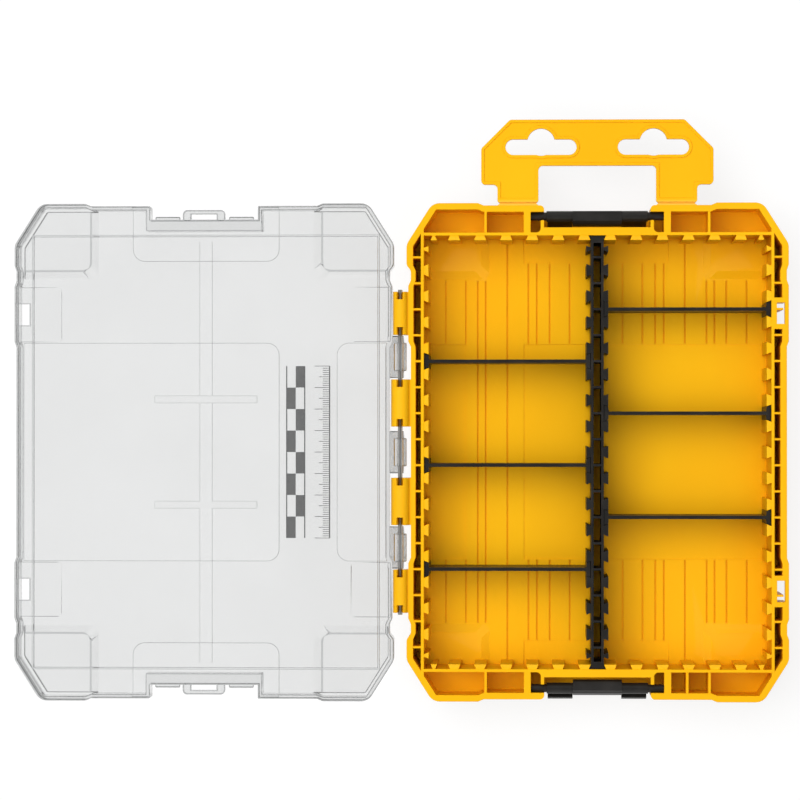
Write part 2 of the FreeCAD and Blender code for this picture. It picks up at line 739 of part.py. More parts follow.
def add_tray_ribs(body):
    steps = whole((BAY_Y - S.tooth_pitch / 2) / S.tooth_pitch)
    first = -(steps + 0.5) * S.tooth_pitch
    inner = BAY_X + S.inner_wall / 2
    outer = S.tray_width / 2 - (S.outer_wall + S.hinge_step) / 2
    rib = box_loop(inner, outer, first - S.rib_thick / 2, first + S.rib_thick / 2)
    plan = draw(body, "RibPlan", [rib, flip_x(rib)], height=S.cell_floor)
    ribs = pad(body, "Rib", plan, S.tray_height - S.rib_drop - S.cell_floor)
    row(body, "RibRow", ribs, "Y_Axis", S.tooth_pitch, 2 * steps + 2)

    low = BAY_Y + S.inner_wall / 2
    high = S.tray_length / 2 - S.outer_wall
    half = S.end_rib_thick / 2
    cross = box_loop(S.end_rib_place - half, S.end_rib_place + half, low, high)
    extra = flip_y(box_loop(S.extra_rib_place - half, S.extra_rib_place + half, low, high))
    plan = draw(body, "EndRibPlan", four(cross) + [extra], height=S.end_cell_floor)
    pad(body, "EndRibs", plan, S.tray_height - S.rib_drop - S.end_cell_floor)


def add_tray_teeth(body):
    base = (RECESS_TOP + S.floor_thick - S.relief) / 2
    height = S.tray_height - S.tooth_drop - base
    bury = S.inner_wall / 2

    steps = whole((BAY_Y - S.tooth_pitch) / S.tooth_pitch)
    first = tooth(BAY_X, BAY_X - S.tooth_depth, -steps * S.tooth_pitch, S.tooth_root, S.tooth_tip, bury)
    plan = draw(body, "SideToothPlan", [first, flip_x(first)], height=base)
    teeth = pad(body, "SideTooth", plan, height)
    row(body, "SideTeeth", teeth, "Y_Axis", S.tooth_pitch, 2 * steps + 1)

    steps = whole((BAY_X - S.tooth_pitch / 2) / S.tooth_pitch)
    start = -(steps - 0.5) * S.tooth_pitch
    first = swap(tooth(BAY_Y, BAY_Y - S.tooth_depth, start, S.tooth_root, S.tooth_tip, bury))
    plan = draw(body, "EndToothPlan", [first, flip_y(first)], height=base)
    teeth = pad(body, "EndTooth", plan, height)
    row(body, "EndTeeth", teeth, "X_Axis", S.tooth_pitch, 2 * steps)

    narrow = S.corner_tooth_tip - (S.tooth_tip - S.tooth_root)
    side_place = BAY_Y - S.side_tooth_place
    end_place = BAY_X - S.corner_tooth_place
    side = tooth(BAY_X, BAY_X - S.tooth_depth, side_place, narrow, S.corner_tooth_tip, bury)
    end = swap(tooth(BAY_Y, BAY_Y - S.tooth_depth, end_place, narrow, S.corner_tooth_tip, bury))
    plan = draw(body, "CornerToothPlan", four(side) + four(end), height=base)
    pad(body, "CornerTeeth", plan, height)


def add_knuckles(body):
    wall = -(S.tray_width / 2 - (S.hinge_step + S.outer_wall) / 2)
    made = []
    kinds = (
        ("End", S.end_knuckle_radius, S.end_knuckle_long, S.end_knuckle_place),
        ("Mid", S.mid_knuckle_radius, S.mid_knuckle_long, S.mid_knuckle_place),
    )
    for name, radius, length, middle in kinds:
        plan = draw(body, f"{name}BarrelPlan", circles=[(HINGE_X, HINGE_Z, radius)], plane="XZ_Plane",
                    height=middle)
        made.append(pad(body, f"{name}Barrel", plan, length, both=True))
        web = [
            (HINGE_X - radius * WEB_ACROSS, HINGE_Z - radius * WEB_ALONG),
            (wall, HINGE_Z - radius - S.knuckle_web),
            (wall, S.tray_height),
            (HINGE_X, S.tray_height),
        ]
        plan = draw(body, f"{name}WebPlan", [web], plane="XZ_Plane", height=middle)
        made.append(pad(body, f"{name}Web", plan, length, both=True))
    mirror(body, "Knuckles", made, "XZ_Plane")

    bore = S.pin_radius + S.pin_fit
    plan = draw(body, "PinBorePlan", circles=[(HINGE_X, HINGE_Z, bore)], plane="XZ_Plane")
    pocket(body, "PinBore", plan)

    windows = []
    half = S.window_wide / 2
    for name, radius, length, middle in kinds:
        for sign in (-1, 1):
            edge = middle + sign * length / 2
            window = box_loop(HINGE_X - half, HINGE_X + half, edge - S.window_long, edge + S.window_long)
            windows += [window, flip_y(window)]
    plan = draw(body, "WindowPlan", windows, height=HINGE_Z)
    pocket(body, "PinWindows", plan, S.mid_knuckle_radius * 2, up=True)


def add_tie_slots(body):
    """Solid blocks in the far side's cells, each with a slot for a cable tie and open below its plate."""
    inner = BAY_X + S.inner_wall / 2
    outer = S.tray_width / 2 - (S.outer_wall + S.far_step) / 2
    block = box_loop(inner, outer, S.pad_middle - S.tie_block_half, S.pad_middle + S.tie_block_half)
    plan = draw(body, "TieBlockPlan", [block, flip_y(block)], height=S.cell_floor)
    pad(body, "TieBlocks", plan, S.tray_height - S.cell_floor)
    pocket(body, "TieSlots", draw(body, "TieSlotPlan", tie_loops()))
    reach = S.tie_long / 2 + S.tie_margin
    inside = TIE_X - S.tie_wide / 2
    hollow = box_loop(inside, S.tray_width / 2 + S.ramp, S.pad_middle - reach, S.pad_middle + reach)
    plan = draw(body, "TieHollowPlan", [hollow, flip_y(hollow)])
    pocket(body, "TieHollows", plan, S.tray_height - S.tie_plate, up=True)


def tie_loops():
    half_x = S.tie_wide / 2
    half_y = S.tie_long / 2
    tie = box_loop(TIE_X - half_x, TIE_X + half_x, S.pad_middle - half_y, S.pad_middle + half_y)
    return [tie, flip_y(tie)]


# The hanging tab


def make_hang_tab():
    body = new_body("hang_tab")
    base = S.tray_height - S.tab_drop - S.bead_height - S.tab_thick
    plan = draw(body, "TabPlan", [tab_loop()], height=base)
    pad(body, "TabPlate", plan, S.tab_thick)

    top = base + S.tab_thick
    plan = draw(body, "BeadPlan", [tab_loop(), tab_inner_loop()], height=top)
    pad(body, "Bead", plan, S.bead_height)

    middle_y = END_LOW + S.euro_in
    run = S.euro_half - S.euro_radius
    bump_y = middle_y + S.euro_bump_rise
    sides = (-1, 1)
    rims = [(side * S.euro_place, middle_y, run, S.euro_radius + S.bead_wide) for side in sides]
    pad(body, "SlotRims", draw(body, "SlotRimPlan", slots=rims, height=top), S.bead_height)
    rims = [(side * S.euro_place, bump_y, S.euro_bump + S.bead_wide) for side in sides]
    pad(body, "BumpRims", draw(body, "BumpRimPlan", circles=rims, height=top), S.bead_height)

    cuts = [(side * S.euro_place, middle_y, run, S.euro_radius) for side in sides]
    pocket(body, "EuroSlots", draw(body, "EuroSlotPlan", slots=cuts))
    cuts = [(side * S.euro_place, bump_y, S.euro_bump) for side in sides]
    pocket(body, "EuroBumps", draw(body, "EuroBumpPlan", circles=cuts))

    groove = END_LOW + S.score_notch
    half = S.score_notch / 2
    score = box_loop(S.leg_inner, S.leg_outer, groove - half, groove + half)
    plan = draw(body, "ScorePlan", [score, flip_x(score)], height=top + S.bead_height)
    pocket(body, "Score", plan, S.bead_height + S.tab_thick / 2)

    far = END_LOW + S.tab_reach
    right = [
        (S.tab_half, END_LOW + S.tab_shoulder),
        (S.leg_outer, END_LOW + S.tab_shoulder),
        (S.tab_half, far - S.tab_chamfer),
        (S.tab_half - S.tab_chamfer, far),
        (S.leg_inner, END_LOW + S.tab_bar),
    ]
    round_upright(body, "TabCorners", right + flip_x(right), S.tab_round)
    return body


def tab_loop():
    far = END_LOW + S.tab_reach
    notch = S.score_notch
    right = [
        (S.leg_inner, END_LOW + S.tab_bar),
        (S.leg_inner, END_LOW + 2 * notch),
        (S.leg_inner + notch, END_LOW + notch),
        (S.leg_inner, END_LOW),
        (S.leg_outer, END_LOW),
        (S.leg_outer - notch, END_LOW + notch),
        (S.leg_outer, END_LOW + 2 * notch),
        (S.leg_outer, END_LOW + S.tab_shoulder),
        (S.tab_half, END_LOW + S.tab_shoulder),
        (S.tab_half, far - S.tab_chamfer),
        (S.tab_half - S.tab_chamfer, far),
    ]
    return right + flip_x(right)[::-1]


def tab_inner_loop():
    """The tab's outline moved in by the width of its bead."""
    bead = S.bead_wide
    far = END_LOW + S.tab_reach
    corner = S.tab_chamfer + bead * (math.sqrt(2) - 1)
    right = [
        (S.leg_inner + bead, END_LOW + S.tab_bar + bead),
        (S.leg_inner + bead, END_LOW + 2 * S.score_notch + bead),
        (S.leg_outer - bead, END_LOW + 2 * S.score_notch + bead),
        (S.leg_outer - bead, END_LOW + S.tab_shoulder + bead),
        (S.tab_half - bead, END_LOW + S.tab_shoulder + bead),
        (S.tab_half - bead, far - corner),
        (S.tab_half - corner, far - bead),
    ]
    return right + flip_x(right)[::-1]


# The lid, drawn closed and laid open by its placement


def make_lid_shell():
    body = new_body("lid_shell")
    pad(body, "LidBlock", draw(body, "LidPlan", [outline(0)], height=LID_RIM), S.lid_height)
    round_upright(body, "LidCorners", chamfer_spots(), S.corner_round)
    round_steps(body, "LidSteps")
    shape_lid_top(body)

    notch = S.opening_half + S.lid_notch_gap
    jog = notch + S.lid_wall
    shelf = CATCH_Y - S.catch_shelf
    inner_end = END_LOW - S.lid_wall
    hollow = outline(S.lid_wall, [(jog, inner_end), (jog, shelf)])
    plan = draw(body, "LidHollowPlan", [hollow], height=LID_RIM)
    pocket(body, "LidHollow", plan, LID_CEILING - LID_RIM, up=True)
    gap = box_loop(-notch, notch, CATCH_Y, S.tray_length / 2)
    pocket(body, "LatchNotch", draw(body, "LatchNotchPlan", [gap, flip_y(gap)]))

    add_lid_catches(body)
    add_lid_barrels(body)
    add_lid_ribs(body)
    plan = draw(body, "LidTieSlotPlan", tie_loops(), height=LID_CEILING)
    pocket(body, "LidTieSlots", plan, S.lid_roof + S.side_pad_height, up=True)
    half_turn = FreeCAD.Rotation(FreeCAD.Vector(0, 1, 0), 180)
    place(body, HINGE_X * 2, 0, HINGE_Z * 2, half_turn)
    return body


def add_lid_catches(body):
    bury = CATCH_Y - S.catch_shelf / 2
    ledge = box_loop(S.lug_start, S.lug_start + S.lug_wide, bury, CATCH_Y + S.ledge_depth)
    plan = draw(body, "LedgePlan", four(ledge), height=LEDGE_Z)
    pad(body, "Ledges", plan, S.ledge_thick)

    staple = box_loop(-S.staple_half, S.staple_half, bury, CATCH_Y + S.staple_out)
    plan = draw(body, "StaplePlan", [staple, flip_y(staple)], height=LID_RIM)
    pad(body, "Staples", plan, S.staple_thick)
    slot = box_loop(-S.staple_slot_half, S.staple_slot_half, CATCH_Y, CATCH_Y + S.staple_slot_out)
    plan = draw(body, "StapleSlotPlan", [slot, flip_y(slot)], height=LID_RIM)
    pocket(body, "StapleSlots", plan, S.staple_thick, up=True)
    ends = [spot for quarter in four([(S.staple_half, CATCH_Y + S.staple_out)]) for spot in quarter]
    round_upright(body, "StapleEnds", ends, S.lip_round)


def add_lid_ribs(body):
    """Ribs that hang from the lid's panel: the seal, the twin spine, its cross ticks and the two bars."""
    bury = S.lid_roof / 2
    top = LID_CEILING + bury
    seal_x = BAY_X + S.seal_thick
    seal_y = BAY_Y + S.seal_thick
    outer = box_loop(-seal_x, seal_x, -seal_y, seal_y)
    inner = box_loop(-BAY_X, BAY_X, -BAY_Y, BAY_Y)
    plan = draw(body, "SealPlan", [outer, inner], height=top)
    pad(body, "Seal", plan, S.seal_height + bury, down=True)

    half = S.spine_thick / 2
    end = BAY_Y - S.tooth_depth
    spine = box_loop(S.spine_half - half, S.spine_half + half, -end, end)
    ticks = []
    steps = int(number(whole((BAY_Y / S.tooth_pitch - 0.5) / 2)))
    for step in range(steps):
        middle = (2 * step + 0.5) * S.tooth_pitch
        tick = box_loop(half - S.spine_half, S.spine_half - half, middle - half, middle + half)
        ticks += [tick, flip_y(tick)]
    plan = draw(body, "SpinePlan", [spine, flip_x(spine)], height=top)
    pad(body, "Spine", plan, S.spine_height + bury, down=True)
    plan = draw(body, "TickPlan", ticks, height=top)
    pad(body, "Ticks", plan, S.spine_height / 2 + bury, down=True)

    bar = box_loop(-S.bar_half, S.bar_half, S.bar_place - S.bar_wide / 2, S.bar_place + S.bar_wide / 2)
    plan = draw(body, "BarPlan", [bar, flip_y(bar)], height=top)
    pad(body, "Bars", plan, S.spine_height + bury, down=True)


def shape_lid_top(body):
    far = S.tray_width / 2 - S.far_step - S.lid_wall
    near = S.tray_width / 2 - S.hinge_step - S.lid_wall
    large = box_loop(-S.panel_edge, far, -S.panel_half, S.panel_half)
    small = box_loop(-near, -S.small_panel_edge, -S.panel_half, S.panel_half)
    latch = box_loop(-S.panel_edge, S.panel_edge, S.latch_area, S.tray_length / 2)
    plan = draw(body, "LidPanelPlan", [large, small, latch, flip_y(latch)], height=LID_TOP)
    pocket(body, "LidPanels", plan, S.relief)
    corners = [
        (-S.panel_edge, S.panel_half),
        (-S.small_panel_edge, S.panel_half),
        (S.panel_edge, S.latch_area),
        (-S.panel_edge, S.latch_area),
    ]
    round_upright(body, "LidPanelCorners", corners + flip_y(corners), S.panel_round)

    low = S.pad_middle - S.pad_half
    high = S.pad_middle + S.pad_half
    bury = S.lid_roof / 2
    far_pad = box_loop(S.side_pad_in, S.tray_width / 2 - S.lid_wall / 2, low, high)
    near_pad = box_loop(-S.tray_width / 2 + S.hinge_pad_step + S.lid_wall / 2, -S.side_pad_in, low, high)
    pads = [far_pad, flip_y(far_pad), near_pad, flip_y(near_pad)]
    plan = draw(body, "SidePadPlan", pads, height=LID_TOP - bury)
    pad(body, "SidePads", plan, S.side_pad_height + bury)
    inner = [spot for quarter in four([(S.side_pad_in, low), (S.side_pad_in, high)]) for spot in quarter]
    round_upright(body, "SidePadCorners", inner, S.side_pad_round)
    feet(body, "Foot", LID_TOP, LID_TOP + S.foot_height, 0)


def add_lid_barrels(body):
    wall = -(S.tray_width / 2 - S.hinge_step - S.lid_wall / 2)
    profile = [
        (HINGE_X, LID_RIM),
        (wall, LID_RIM),
        (wall, LID_RIM + S.barrel_arm + S.barrel_radius),
        (HINGE_X - S.barrel_radius * WEB_ALONG, HINGE_Z + S.barrel_radius * WEB_ACROSS),
    ]
    features = []
    plan = draw(body, "LidBarrelPlan", circles=[(HINGE_X, HINGE_Z, S.barrel_radius)], plane="XZ_Plane",
                height=S.barrel_pitch)
    features.append(pad(body, "LidBarrel", plan, S.barrel_long, both=True))
    plan = draw(body, "LidArmPlan", [profile], plane="XZ_Plane", height=S.barrel_pitch)
    features.append(pad(body, "LidArm", plan, S.arm_long, both=True))
    for feature in features:
        row(body, f"{feature.Name}Row", feature, "Y_Axis", S.barrel_pitch, 3)
    bore = S.pin_radius + S.pin_fit
    plan = draw(body, "LidBorePlan", circles=[(HINGE_X, HINGE_Z, bore)], plane="XZ_Plane")
    pocket(body, "LidBore", plan)


# Pin, latches, rail and dividers


def make_hinge_pin():
    body = new_body("hinge_pin")
    plan = draw(body, "PinPlan", circles=[(0, 0, S.pin_radius)], plane="XZ_Plane")
    pad(body, "PinRod", plan, S.pin_long, both=True)
    place(body, HINGE_X, 0, HINGE_Z)
    return body


def make_latch(name, side):
    """A latch drawn closed round its pivot, plate outwards along +Y, then turned to its side and opened."""
    body = new_body(name)
    plane = "YZ_Plane"
    rod = S.latch_half + S.bore_depth - S.rod_fit
    rounds = (("Hub", S.hub_radius, S.hub_half), ("Rod", S.rod_radius, rod))
    for part, radius, half in rounds:
        plan = draw(body, f"{part}Plan", circles=[(0, 0, radius)], plane=plane)
        pad(body, part, plan, half * 2, both=True)

    plate = S.ledge_depth - S.catch_inset + S.hook_gap
    back = plate + S.plate_thick
    hook = S.hook_gap - S.catch_inset
    hook_low = LEDGE_Z + S.ledge_thick + S.hook_gap - PIVOT_Z
    hook_top = hook_low + S.hook_thick
    heel = -S.rod_radius / 2
    lug = [
        (plate, heel),
        (plate, hook_low),
        (hook, hook_low),
        (hook, hook_top),
        (back, hook_top),
        (back, heel),
    ]
    plan = draw(body, "LugPlan", [lug], plane=plane, height=S.lug_start)
    lugs = pad(body, "Lug", plan, S.lug_wide)
    mirror(body, "Lugs", [lugs], plane)

    roof = S.pivot_drop - S.hook_gap
    thumb = [
        (-S.thumb_back, roof),
        (S.thumb_out, roof),
        (S.thumb_out, -S.thumb_nose),
        (S.hub_radius, -S.thumb_low),
        (-S.thumb_back, -S.thumb_low),
    ]
    plan = draw(body, "ThumbPlan", [thumb], plane=plane)
    pad(body, "Thumb", plan, S.thumb_half * 2, both=True)

    across = FreeCAD.Vector(1, 0, 0)
    if side > 0:
        turn = FreeCAD.Rotation(across, -number(S.latch_rear_open))
    else:
        about = FreeCAD.Rotation(FreeCAD.Vector(0, 0, 1), 180)
        turn = FreeCAD.Rotation(across, number(S.latch_front_open)).multiply(about)
    place(body, 0, side * PIVOT_Y, PIVOT_Z, turn)
    return body


def make_centre_rail():
    body = new_body("centre_rail")
    base = S.floor_thick + S.seat_gap
    height = S.tray_height - S.rail_drop - base
    half = S.rail_width / 2
    end = BAY_Y - S.slide_fit
    mouth = BAY_Y - S.tooth_depth
    wide = (S.tooth_pitch - S.tooth_root) / 2 - S.slide_fit
    right = [(half, mouth), (wide, end)]
    rear = right + flip_x(right)[::-1]
    plan = draw(body, "RailPlan", [rear + flip_y(rear)[::-1]], height=base)
    pad(body, "RailBar", plan, height)

    steps = whole((BAY_Y - S.tooth_pitch) / S.tooth_pitch)
    start = -steps * S.tooth_pitch
    first = tooth(-half, -half - S.rail_tooth, start, S.tooth_root, S.tooth_tip, S.rail_wall / 2)
    plan = draw(body, "RailToothPlan", [first, flip_x(first)], height=base)
    teeth = pad(body, "RailTooth", plan, height)
    row(body, "RailTeeth", teeth, "Y_Axis", S.tooth_pitch, 2 * steps + 1)
    narrow = S.corner_tooth_tip - (S.tooth_tip - S.tooth_root)
    last = tooth(-half, -half - S.rail_tooth, BAY_Y - S.side_tooth_place, narrow, S.corner_tooth_tip,
                 S.rail_wall / 2)
    pad(body, "RailEndTeeth", draw(body, "RailEndToothPlan", four(last), height=base), height)

    inside = half - S.rail_wall
    reach = (S.tooth_pitch - S.rib_thick) / 2
    cell = box_loop(-inside, inside, start - reach, start + reach)
    top = S.tray_height - S.rail_drop
    cells = pocket(body, "RailCell", draw(body, "RailCellPlan", [cell], height=top), height)
    row(body, "RailCells", cells, "Y_Axis", S.tooth_pitch, 2 * steps + 1)
    last = box_loop(-inside, inside, (steps + 0.5) * S.tooth_pitch + S.rib_thick / 2, mouth - S.rail_wall)
    pocket(body, "RailEndCells", draw(body, "RailEndCellPlan", [last, flip_y(last)], height=top), height)
    return body


def make_divider(name, side, steps):
    """A divider wall drawn to the right of the rail; the left ones are the same part turned round."""
    body = new_body(name)
    base = S.floor_thick + S.seat_gap
    wide = (S.tooth_pitch - S.tooth_root) / 2 - S.slide_fit
    neck = (S.tooth_pitch - S.tooth_tip) / 2 - S.slide_fit
    web = S.divider_thick / 2
    rail = S.rail_width / 2
    upper = [
        (rail + S.slide_fit, wide),
        (rail + S.rail_tooth, neck),
        (rail + S.rail_tooth + S.slide_fit, web),
        (BAY_X - S.tooth_depth - S.slide_fit, web),
        (BAY_X - S.tooth_depth, neck),
        (BAY_X - S.slide_fit, wide),
    ]
    plan = draw(body, f"{name}_plan", [upper + flip_y(upper)[::-1]], height=base)
    pad(body, f"{name}_wall", plan, S.tray_height - S.divider_drop - base)
    turn = FreeCAD.Rotation(FreeCAD.Vector(0, 0, 1), 0 if side > 0 else 180)
    place(body, 0, steps * S.tooth_pitch, 0, turn)
    return body


def main():
    bodies = [make_base_tray(), make_hang_tab(), make_lid_shell(), make_hinge_pin()]
    bodies += [make_latch(name, side) for name, side in LATCHES]
    bodies.append(make_centre_rail())
    bodies += [make_divider(name, side, steps) for name, side, steps in DIVIDERS]
    doc.recompute()
    for item in doc.Objects:
        if "Invalid" in item.State or "Error" in item.State:
            raise RuntimeError(f"{item.Label} is {item.State}")
    for body in bodies:
        if body.Shape.isNull() or not body.Shape.isValid() or len(body.Shape.Solids) != 1:
            raise RuntimeError(f"{body.Label} is not one sound solid")
    os.makedirs("parts", exist_ok=True)
    for body in bodies:
        body.Shape.exportStep(f"parts/{body.Label}.step")
        print(f"{body.Label}: {body.Shape.Volume / 1000:.2f} cm3")


main()
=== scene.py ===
import math

import bmesh
import bpy
from mathutils import Matrix, Vector


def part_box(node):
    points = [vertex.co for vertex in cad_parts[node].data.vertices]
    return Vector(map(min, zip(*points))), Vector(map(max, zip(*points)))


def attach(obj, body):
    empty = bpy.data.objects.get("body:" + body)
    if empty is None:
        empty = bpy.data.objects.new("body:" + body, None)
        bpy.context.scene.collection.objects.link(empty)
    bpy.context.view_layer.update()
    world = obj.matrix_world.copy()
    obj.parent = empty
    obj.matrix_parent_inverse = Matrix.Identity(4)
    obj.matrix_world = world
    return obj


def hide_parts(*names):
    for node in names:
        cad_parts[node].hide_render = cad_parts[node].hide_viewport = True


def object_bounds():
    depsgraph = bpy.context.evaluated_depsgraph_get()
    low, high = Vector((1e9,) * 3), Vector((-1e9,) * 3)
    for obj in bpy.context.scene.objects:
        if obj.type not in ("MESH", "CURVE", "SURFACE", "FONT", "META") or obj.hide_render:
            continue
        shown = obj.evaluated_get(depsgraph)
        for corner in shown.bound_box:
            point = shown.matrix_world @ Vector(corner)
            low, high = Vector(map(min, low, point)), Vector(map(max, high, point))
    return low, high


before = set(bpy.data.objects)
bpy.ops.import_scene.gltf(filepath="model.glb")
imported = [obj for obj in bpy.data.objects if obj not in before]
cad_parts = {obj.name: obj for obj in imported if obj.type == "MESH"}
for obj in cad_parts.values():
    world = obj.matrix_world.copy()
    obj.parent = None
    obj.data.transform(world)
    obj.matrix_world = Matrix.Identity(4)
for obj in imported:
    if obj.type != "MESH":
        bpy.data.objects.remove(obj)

bl_info = {
    "name": "Compartment Tool Case",
    "version": (1, 0, 0),
    "blender": (4, 5, 0),
    "location": "3D View > Sidebar > Tool Case",
    "description": "Dresses a compartment tool case in moulded plastic and sets up its stage",
    "category": "Object",
}

CAD_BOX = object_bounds()
MM = 0.001
WHITE = (1, 1, 1, 1)

TRAY_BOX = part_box("base_tray")
PIN_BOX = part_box("hinge_pin")
LATCH_PIECES = {"latch_rear": "rear_latch", "latch_front": "front_latch"}
DIVIDER_PIECES = {
    f"divider_{side}_{place}": f"{side}_{place}_divider"
    for side in ("left", "right")
    for place in ("rear", "middle", "front")
}


# Property groups


def colour_property(name, description, default):
    return bpy.props.FloatVectorProperty(
        name=name, description=description, subtype="COLOR", size=4, min=0, max=1,
        default=(*default, 1),
    )


def length_property(name, description, default):
    return bpy.props.FloatProperty(
        name=name, description=description, subtype="DISTANCE", unit="LENGTH", min=0,
        default=default, precision=5,
    )


def factor_property(name, description, default):
    return bpy.props.FloatProperty(
        name=name, description=description, subtype="FACTOR", min=0, max=1, default=default
    )


def power_property(name, description, default):
    return bpy.props.FloatProperty(
        name=name, description=description, unit="POWER", default=default
    )


class TrayFinish(bpy.types.PropertyGroup):
    """Yellow moulding of the tray and the hanging tab"""

    colour: colour_property("Colour", "Yellow of the moulding", (0.96, 0.497, 0.004))
    flow: colour_property(
        "Flow colour", "Warmer yellow where the plastic flowed last", (0.93, 0.452, 0.003)
    )
    stress: colour_property(
        "Stress colour", "Pale yellow at the tab's break line", (0.98, 0.66, 0.12)
    )
    roughness: factor_property("Roughness", "Roughness of the satin surface", 0.38)
    grain: length_property("Grain", "Size of the mould's spark-eroded grain", 0.45 * MM)
    edge: length_property("Edge", "Rounding of the moulded edges", 0.18 * MM)
    groove: length_property("Groove", "Further depth of the bay floor's grooves", 1.0 * MM)
    tooth: length_property("Tooth", "Further height of the teeth, up to the rim", 0.6 * MM)


class LidFinish(bpy.types.PropertyGroup):
    """Clear moulding of the lid"""

    tint: colour_property("Tint", "Tint of the clear plastic", (0.82, 0.825, 0.825))
    # depth colours the volume absorption and is also painted as shade on faces turned from the view
    depth: colour_property(
        "Depth colour", "Colour of light that has gone through much plastic", (0.52, 0.53, 0.53)
    )
    # Painted shade: a darker tint for the faces of the lid's rounded edges
    painted_edge_shade: colour_property(
        "Rim colour", "Tint of the rounded edges, which gather the shade", (0.63, 0.64, 0.64)
    )
    absorption: bpy.props.FloatProperty(
        name="Absorption", description="Density of the plastic, for each metre of it",
        min=0, default=22,
    )
    clearness: factor_property("Clearness", "Share of light that goes through", 0.92)
    haze: factor_property("Haze", "Roughness of the polished surface", 0.025)
    edge: length_property("Edge", "Rounding of the moulded edges", 0.5 * MM)


class BlackFinish(bpy.types.PropertyGroup):
    """Black mouldings: latches, rail and dividers"""

    colour: colour_property("Colour", "Black of the mouldings", (0.011, 0.010, 0.009))
    worn: colour_property(
        "Worn colour", "Greyer black where the surface is rubbed", (0.020, 0.018, 0.016)
    )
    roughness: factor_property("Roughness", "Roughness of the satin surface", 0.42)
    edge: length_property("Edge", "Rounding of the moulded edges", 0.22 * MM)


class PinFinish(bpy.types.PropertyGroup):
    """Drawn wire of the hinge pin"""

    colour: colour_property("Colour", "Colour of the drawn steel", (0.42, 0.41, 0.39))
    roughness: factor_property("Roughness", "Roughness along the drawn wire", 0.28)
    tip: length_property("Tip", "Rounding of the pin's cut ends", 0.35 * MM)


class ScalePrint(bpy.types.PropertyGroup):
    """Measuring scale printed on the outside of the lid"""

    colour: colour_property("Ink", "Black of the printed ink", (0.012, 0.012, 0.012))
    length: length_property("Length", "Length of the printed scale", 80 * MM)
    width: length_property("Width", "Width of the printed scale", 20 * MM)
    division: length_property("Division", "Length of one block of the scale", 10 * MM)
    thickness: length_property("Thickness", "Thickness of the ink", 0.03 * MM)


class StageStyle(bpy.types.PropertyGroup):
    """Floor, lamps and camera"""

    key_power: power_property("Key lamp", "Power of the key lamp", 72)
    fill_power: power_property("Fill lamp", "Power of the fill lamp", 12)
    ambient: factor_property("Ambient", "Strength of the studio's walls", 0.24)
    ceiling: factor_property("Ceiling", "Strength of the studio's dark ceiling", 0.12)
    floor: factor_property("Floor", "How pale the floor is under the lamps", 0.19)
    glow: factor_property("Glow", "Share of white that the floor always shows", 0.81)
    camera_height: length_property("Camera height", "Camera above the floor", 1.75)
    lens: bpy.props.FloatProperty(
        name="Lens", description="Focal length of the camera", subtype="DISTANCE_CAMERA",
        unit="CAMERA", default=166.8,
    )


GROUPS = {
    "case_tray": TrayFinish,
    "case_lid": LidFinish,
    "case_black": BlackFinish,
    "case_pin": PinFinish,
    "case_scale": ScalePrint,
    "case_stage": StageStyle,
}


# Materials

# Steps of detail in a noise
SMOOTH_DETAIL = 1.0
FINE_DETAIL = 2.0
PLAIN_DETAIL = 3.0
RUBBED_DETAIL = 4.0

# The eroded grain that the yellow and the black mouldings share
GRAIN_SPAN = (0.3, 0.7)
GRAIN_DEPTH = 0.02 * MM
GRAIN_STRENGTH = 0.35
SATIN_INDEX = 1.5

# The Mix node has sockets of one name for each kind of data, so its colours go by number
MIX_FIRST = 6
MIX_SECOND = 7
MIX_RESULT = 2


class Finish:
    """A material under construction, with short names for the nodes that it is made of."""

    def __init__(self, name):
        self.material = bpy.data.materials.new(name)
        self.material.use_nodes = True
        self.tree = self.material.node_tree
        self.shader = self.tree.nodes["Principled BSDF"]
        self.output = self.tree.nodes["Material Output"]
        self.place = self.add("ShaderNodeTexCoord").outputs["Object"]

    def add(self, kind, **settings):
        node = self.tree.nodes.new(kind)
        for key, value in settings.items():
            setattr(node, key, value)
        return node

    def join(self, source, target):
        self.tree.links.new(source, target)

    def set(self, **values):
        """Sets sockets of the shader, with underscores for the spaces in their names."""
        for key, value in values.items():
            self.shader.inputs[key.replace("_", " ")].default_value = value

    def drive(self, key, source):
        self.join(source, self.shader.inputs[key])

    def stretched(self, scale):
        """The place on the piece, with each axis scaled."""
        node = self.add("ShaderNodeMapping")
        node.inputs["Scale"].default_value = scale
        self.join(self.place, node.inputs["Vector"])
        return node.outputs["Vector"]

    def noise(self, size, detail=PLAIN_DETAIL, vector=None):
        """Noise whose patches are about size across."""
        node = self.add("ShaderNodeTexNoise")
        node.inputs["Scale"].default_value = 1 / size
        node.inputs["Detail"].default_value = detail
        self.join(vector or self.place, node.inputs["Vector"])
        return node.outputs["Fac"]

    def span(self, value, low, high, start=0.0, stop=1.0):
        """Maps value from low to high onto start to stop."""
        node = self.add("ShaderNodeMapRange")
        numbers = (("From Min", low), ("From Max", high), ("To Min", start), ("To Max", stop))
        for key, number in numbers:
            node.inputs[key].default_value = number
        self.join(value, node.inputs["Value"])
        return node.outputs["Result"]

    def blend(self, factor, first, second):
        """Mixes two colours, each a colour or a socket."""
        node = self.add("ShaderNodeMix", data_type="RGBA")
        self.join(factor, node.inputs["Factor"])
        for number, colour in ((MIX_FIRST, first), (MIX_SECOND, second)):
            if isinstance(colour, bpy.types.NodeSocket):
                self.join(colour, node.inputs[number])
            else:
                node.inputs[number].default_value = colour
        return node.outputs[MIX_RESULT]

    def vary_roughness(self, grain, roughness, less, more):
        """Roughness that goes with the grain, from less below a middle value to more above it."""
        self.drive("Roughness", self.span(grain, *GRAIN_SPAN, roughness - less, roughness + more))

    def bump(self, height, distance, strength):
        node = self.add("ShaderNodeBump")
        node.inputs["Strength"].default_value = strength
        node.inputs["Distance"].default_value = distance
        self.join(height, node.inputs["Height"])
        self.join(node.outputs["Normal"], self.shader.inputs["Normal"])


